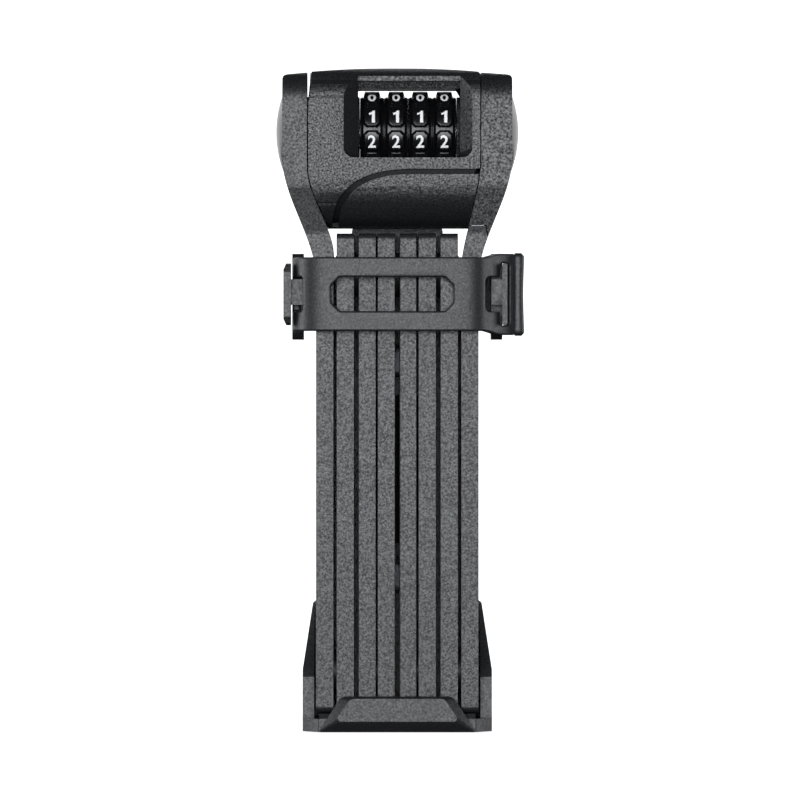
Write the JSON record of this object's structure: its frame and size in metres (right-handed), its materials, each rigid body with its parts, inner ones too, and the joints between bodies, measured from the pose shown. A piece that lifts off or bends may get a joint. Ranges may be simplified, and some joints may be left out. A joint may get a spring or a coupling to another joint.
{
  "type": "folding bike lock",
  "caption": "Folding bicycle lock of riveted flat links with a combination-wheel head, held folded in a frame bracket by a rubber strap.",
  "frame": {"origin": "midway between the two frame screw holes, on the bracket's back face that lies on the bicycle frame", "axes": "+Z along the folded links towards the lock head, +Y out of the back face towards the bicycle frame, -Y the side of the number wheels, +X to the right seen from the front"},
  "size_m": [0.0732, 0.0348, 0.1953],
  "materials": {
    "head_plastic": "fine spark-eroded texture",
    "link_coating": "fine textured coating",
    "bracket_plastic": "fine spark-eroded texture",
    "wheel_plastic": "satin gloss",
    "numeral_paint": "white paint filled in",
    "strap_rubber": "smooth matt rubber",
    "pad_rubber": "matt foam rubber",
    "core_metal": "black zinc die casting",
    "hardened_steel": "hardened, zinc plated",
    "spring_steel": "drawn and polished",
    "screw_steel": "black oxide",
    "washer_plastic": "plain nylon",
    "brass": "turned"
  },
  "bodies": {
    "bracket": {"holder_body": "bracket_plastic", "cup_pad": "pad_rubber", "spine_pad": "pad_rubber"},
    "strap": {"strap": "strap_rubber"},
    "lock": {"head_core": "core_metal", "head_front_shell": "head_plastic", "head_rear_shell": "head_plastic", "badge_panel": "head_plastic", "head_screws": "screw_steel", "dial_sleeve": "spring_steel", "detent_spring": "spring_steel", "bolt_spring": "spring_steel", "arm_screws": "screw_steel", "left_dome": "head_plastic", "link_1_core": "hardened_steel", "link_1_jacket": "link_coating", "rivet_1": "hardened_steel", "washer_1": "washer_plastic"},
    "bolt": {"bolt_spindle": "spring_steel"},
    "dial_1": {"number_wheel_1": "wheel_plastic", "code_ring_1": "brass"},
    "dial_2": {"number_wheel_2": "wheel_plastic", "code_ring_2": "brass"},
    "dial_3": {"number_wheel_3": "wheel_plastic", "code_ring_3": "brass"},
    "dial_4": {"number_wheel_4": "wheel_plastic", "code_ring_4": "brass"},
    "link_2": {"link_2_core": "hardened_steel", "link_2_jacket": "link_coating", "rivet_2": "hardened_steel", "washer_2": "washer_plastic"},
    "link_3": {"link_3_core": "hardened_steel", "link_3_jacket": "link_coating", "rivet_3": "hardened_steel", "washer_3": "washer_plastic"},
    "link_4": {"link_4_core": "hardened_steel", "link_4_jacket": "link_coating", "rivet_4": "hardened_steel", "washer_4": "washer_plastic"},
    "link_5": {"link_5_core": "hardened_steel", "link_5_jacket": "link_coating", "rivet_5": "hardened_steel", "washer_5": "washer_plastic"},
    "link_6": {"link_6_core": "hardened_steel", "link_6_jacket": "link_coating", "rivet_6": "hardened_steel", "washer_6": "washer_plastic"},
    "link_7": {"link_7_core": "hardened_steel", "link_7_jacket": "link_coating", "rivet_7": "hardened_steel", "washer_7": "washer_plastic"},
    "link_8": {"link_8_core": "hardened_steel", "link_8_jacket": "link_coating", "end_cap": "head_plastic", "cap_screws": "screw_steel", "right_dome": "head_plastic"}
  },
  "joints": [
    {"name": "take_out", "type": "slide", "parent": "bracket", "child": "lock", "axis": [0, 0, 1], "range_m": [0, 0.5]},
    {"name": "strap_swing", "type": "hinge", "parent": "bracket", "child": "strap", "pos_m": [-0.031, -0.0257, 0.0512], "axis": [0, 0, -1], "range_deg": [0, 110], "deforming": ["strap"]},
    {"name": "bolt_slide", "type": "slide", "parent": "lock", "child": "bolt", "axis": [1, 0, 0], "range_m": [0, 0.0071], "stiffness_N_per_m": 120, "deforming": ["bolt_spring"]},
    {"name": "dial_1_turn", "type": "hinge", "parent": "lock", "child": "dial_1", "pos_m": [0, -0.0176, 0.0996], "axis": [1, 0, 0], "continuous": true},
    {"name": "dial_2_turn", "type": "hinge", "parent": "lock", "child": "dial_2", "pos_m": [0, -0.0176, 0.0996], "axis": [1, 0, 0], "continuous": true},
    {"name": "dial_3_turn", "type": "hinge", "parent": "lock", "child": "dial_3", "pos_m": [0, -0.0176, 0.0996], "axis": [1, 0, 0], "continuous": true},
    {"name": "dial_4_turn", "type": "hinge", "parent": "lock", "child": "dial_4", "pos_m": [0, -0.0176, 0.0996], "axis": [1, 0, 0], "continuous": true},
    {"name": "pivot_1", "type": "hinge", "parent": "lock", "child": "link_2", "pos_m": [-0.01875, -0.0176, -0.0594], "axis": [1, 0, 0], "range_deg": [0, 75.2]},
    {"name": "pivot_2", "type": "hinge", "parent": "link_2", "child": "link_3", "pos_m": [-0.0127, -0.0176, 0.0576], "axis": [1, 0, 0], "range_deg": [-150.2, 0]},
    {"name": "pivot_3", "type": "hinge", "parent": "link_3", "child": "link_4", "pos_m": [-0.00625, -0.0176, -0.0594], "axis": [1, 0, 0], "range_deg": [0, 150.2]},
    {"name": "pivot_4", "type": "hinge", "parent": "link_4", "child": "link_5", "pos_m": [-0.00065, -0.0176, 0.0576], "axis": [1, 0, 0], "range_deg": [-150.2, 0]},
    {"name": "pivot_5", "type": "hinge", "parent": "link_5", "child": "link_6", "pos_m": [0.0058, -0.0176, -0.0594], "axis": [1, 0, 0], "range_deg": [0, 150.2]},
    {"name": "pivot_6", "type": "hinge", "parent": "link_6", "child": "link_7", "pos_m": [0.0114, -0.0176, 0.0576], "axis": [1, 0, 0], "range_deg": [-150.2, 0]},
    {"name": "pivot_7", "type": "hinge", "parent": "link_7", "child": "link_8", "pos_m": [0.01785, -0.0176, -0.0594], "axis": [1, 0, 0], "range_deg": [0, 150.2]}
  ],
  "couplings": [
    {"joint": "pivot_1", "follows": "take_out", "rad_per_m": 2.618},
    {"joint": "pivot_2", "follows": "take_out", "rad_per_m": -5.236},
    {"joint": "pivot_3", "follows": "take_out", "rad_per_m": 5.236},
    {"joint": "pivot_4", "follows": "take_out", "rad_per_m": -5.236},
    {"joint": "pivot_5", "follows": "take_out", "rad_per_m": 5.236},
    {"joint": "pivot_6", "follows": "take_out", "rad_per_m": -5.236},
    {"joint": "pivot_7", "follows": "take_out", "rad_per_m": 5.236}
  ]
}
